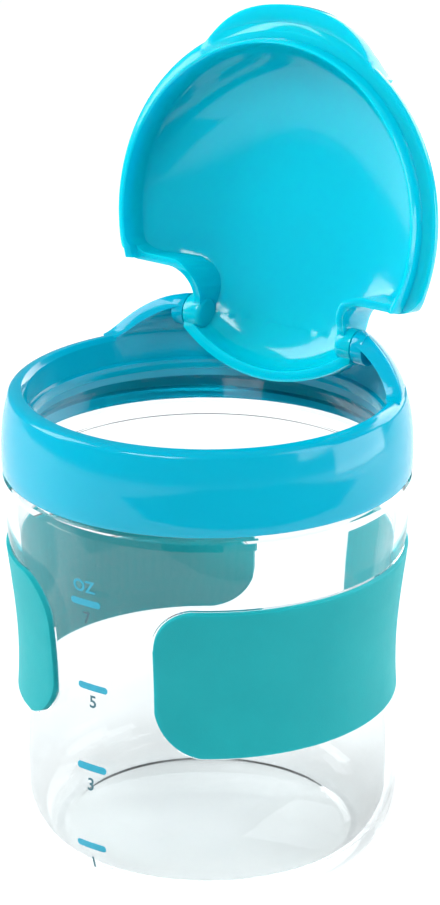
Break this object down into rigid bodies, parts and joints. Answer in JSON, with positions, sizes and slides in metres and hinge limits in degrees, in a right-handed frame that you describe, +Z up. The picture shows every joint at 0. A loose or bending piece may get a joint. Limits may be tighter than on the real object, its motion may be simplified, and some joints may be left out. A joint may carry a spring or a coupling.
{
  "type": "toddler snack container",
  "caption": "Hourglass snack cup with clear walls, soft side grips, a screw-on collar and a domed flip lid with a thumb tab, hinged between raised shoulders.",
  "frame": {"origin": "centre of the underside, on the surface that the cup stands on", "axes": "+Z up along the cup's axis, +Y towards the lid's hinge, -Y towards the thumb tab and the scale, +X to the right seen from the front"},
  "size_m": [0.0764, 0.0764, 0.1559],
  "materials": {
    "clear_cup": "clear, glossy",
    "grip_rubber": "matte",
    "aqua_plastic": "glossy",
    "seal_silicone": "matte"
  },
  "bodies": {
    "cup": {"cup_body": "clear_cup", "grip_left": "grip_rubber", "grip_right": "grip_rubber"},
    "seal": {"seal_ring": "seal_silicone"},
    "collar": {"collar": "aqua_plastic"},
    "lid": {"lid": "aqua_plastic"}
  },
  "joints": [
    {"name": "seal_lift", "type": "slide", "parent": "cup", "child": "seal", "axis": [0, 0, 1], "range_m": [0, 0.0051]},
    {"name": "collar_spin", "type": "hinge", "parent": "seal", "child": "collar", "pos_m": [0, 0, 0.082], "axis": [0, 0, 1], "range_deg": [0, 450]},
    {"name": "lid_hinge", "type": "hinge", "parent": "collar", "child": "lid", "pos_m": [0, 0.02125, 0.09545], "axis": [1, 0, 0], "range_deg": [0, 99.9]}
  ],
  "couplings": [
    {"joint": "seal_lift", "follows": "collar_spin", "m_per_rad": 0.00063662}
  ]
}
